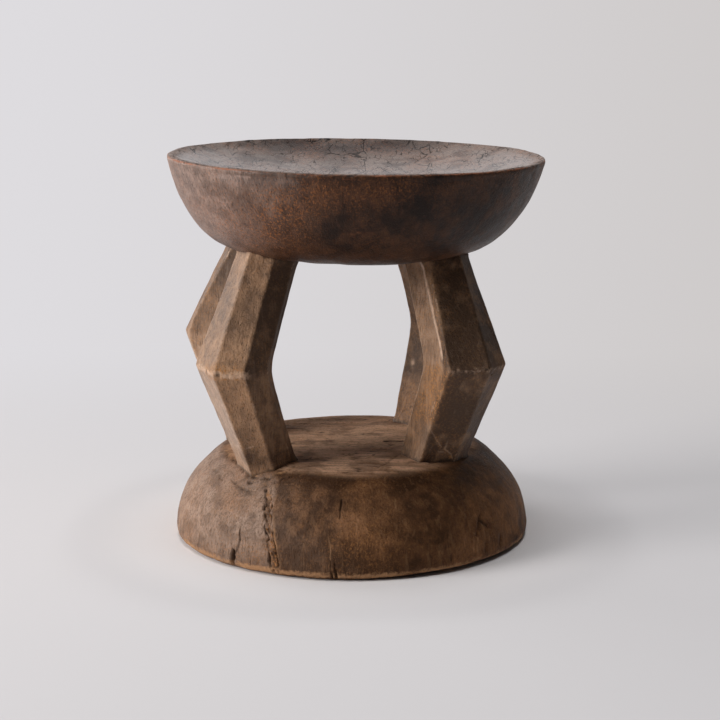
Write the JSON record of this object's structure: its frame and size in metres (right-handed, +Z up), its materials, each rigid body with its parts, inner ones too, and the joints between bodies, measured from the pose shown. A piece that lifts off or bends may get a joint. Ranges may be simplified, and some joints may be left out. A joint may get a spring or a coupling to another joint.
{
  "type": "tonga stool",
  "caption": "Low carved wooden stool: dished round seat on kinked legs over a domed round base, for sitting or as a side table.",
  "frame": {"origin": "on the floor, at the middle of the base's flat underside", "axes": "+Z up through the seat, -Y towards the front of the stool as pictured, +X to its right"},
  "size_m": [0.3124, 0.3124, 0.322],
  "materials": {
    "seat_wood": "dark oiled hardwood, hand-polished by use, satin",
    "base_wood": "dark hardwood, dry and worn, with drying cracks",
    "leg_wood": "dark hardwood, facets worn pale along their edges"
  },
  "bodies": {
    "root": {"seat": "seat_wood", "base": "base_wood", "leg_front_left": "leg_wood", "leg_front_right": "leg_wood", "leg_rear_left": "leg_wood", "leg_rear_right": "leg_wood"}
  },
  "joints": []
}
